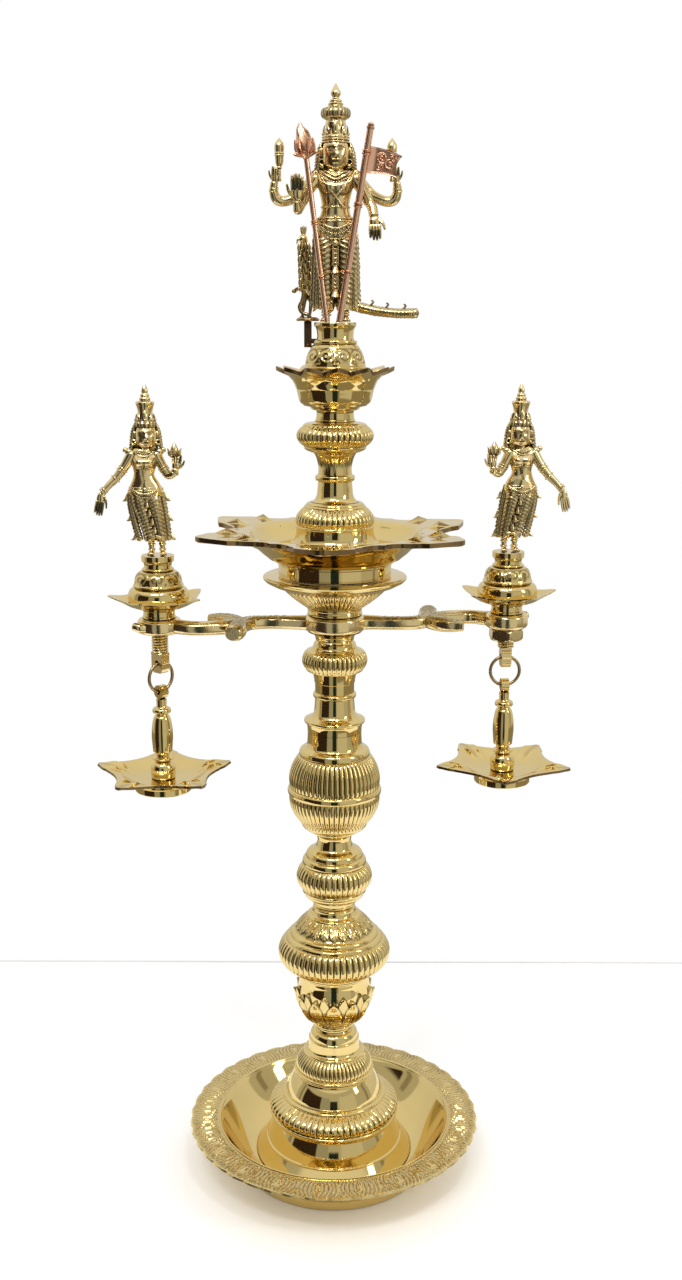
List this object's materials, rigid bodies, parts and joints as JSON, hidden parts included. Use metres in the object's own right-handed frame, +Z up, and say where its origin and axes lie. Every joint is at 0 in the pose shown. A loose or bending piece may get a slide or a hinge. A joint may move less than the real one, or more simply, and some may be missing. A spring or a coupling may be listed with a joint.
{
  "type": "pillar oil lamp",
  "caption": "Tall cast brass oil lamp: dish foot, gadrooned pillar, star-shaped oil pan, arms with small figures and hanging star lamps, and a crowned figure with spear, banner and peacock.",
  "frame": {"origin": "centre of the foot ring, on the plane the lamp stands on", "axes": "+Z up along the pillar, -Y towards the front of the lamp, +X to the viewer's right"},
  "size_m": [0.4002, 0.256, 0.9147],
  "materials": {
    "polished_brass": "polished cast brass",
    "aged_brass": "satin cast brass with dark recesses",
    "dark_brass": "dark patina",
    "copper": "copper-coloured, lightly worn",
    "dark_bronze": "dull dark bronze"
  },
  "bodies": {
    "stand": {"base_dish": "polished_brass", "base_bell": "polished_brass", "lotus_bud": "polished_brass", "bell_disc": "polished_brass", "lower_knop": "polished_brass", "ribbed_pot": "polished_brass", "ringed_sleeve": "polished_brass", "upper_knop": "polished_brass", "cross_arm": "aged_brass", "gadroon_bowl": "polished_brass", "main_pan": "polished_brass", "upper_bell": "polished_brass", "upper_stem": "polished_brass", "top_cup": "polished_brass", "figure_pedestal": "polished_brass", "peacock_bracket": "dark_bronze", "central_figure": "aged_brass", "peacock": "dark_brass", "left_side_pan": "polished_brass", "left_pedestal": "polished_brass", "left_figure": "aged_brass", "left_eye_bolt": "aged_brass", "right_side_pan": "polished_brass", "right_pedestal": "polished_brass", "right_figure": "aged_brass", "right_eye_bolt": "aged_brass", "right_nut": "aged_brass"},
    "left_ring": {"left_ring": "dark_brass"},
    "left_lamp": {"left_lamp_handle": "polished_brass", "left_star_dish": "polished_brass"},
    "right_ring": {"right_ring": "dark_brass"},
    "right_lamp": {"right_lamp_handle": "polished_brass", "right_star_dish": "polished_brass"},
    "spear": {"spear": "copper"},
    "banner": {"banner": "copper"}
  },
  "joints": [
    {"name": "left_ring_swing", "type": "hinge", "parent": "stand", "child": "left_ring", "pos_m": [-0.14395, -0.01259, 0.4629], "axis": [0.6691, 0.7431, 0], "range_deg": [-30, 30]},
    {"name": "left_lamp_swing", "type": "hinge", "parent": "left_ring", "child": "left_lamp", "pos_m": [-0.14395, -0.01259, 0.45045], "axis": [-0.7431, 0.6691, 0], "range_deg": [-30, 30]},
    {"name": "right_ring_swing", "type": "hinge", "parent": "stand", "child": "right_ring", "pos_m": [0.14395, 0.01259, 0.4629], "axis": [0.9962, 0.0872, 0], "range_deg": [-30, 30]},
    {"name": "right_lamp_swing", "type": "hinge", "parent": "right_ring", "child": "right_lamp", "pos_m": [0.14395, 0.01259, 0.45045], "axis": [-0.0872, 0.9962, 0], "range_deg": [-30, 30]},
    {"name": "spear_lift", "type": "slide", "parent": "stand", "child": "spear", "axis": [-0.1288, 0, 0.9917], "range_m": [0, 0.012]},
    {"name": "banner_lift", "type": "slide", "parent": "stand", "child": "banner", "axis": [0.1601, 0, 0.9871], "range_m": [0, 0.012]}
  ]
}
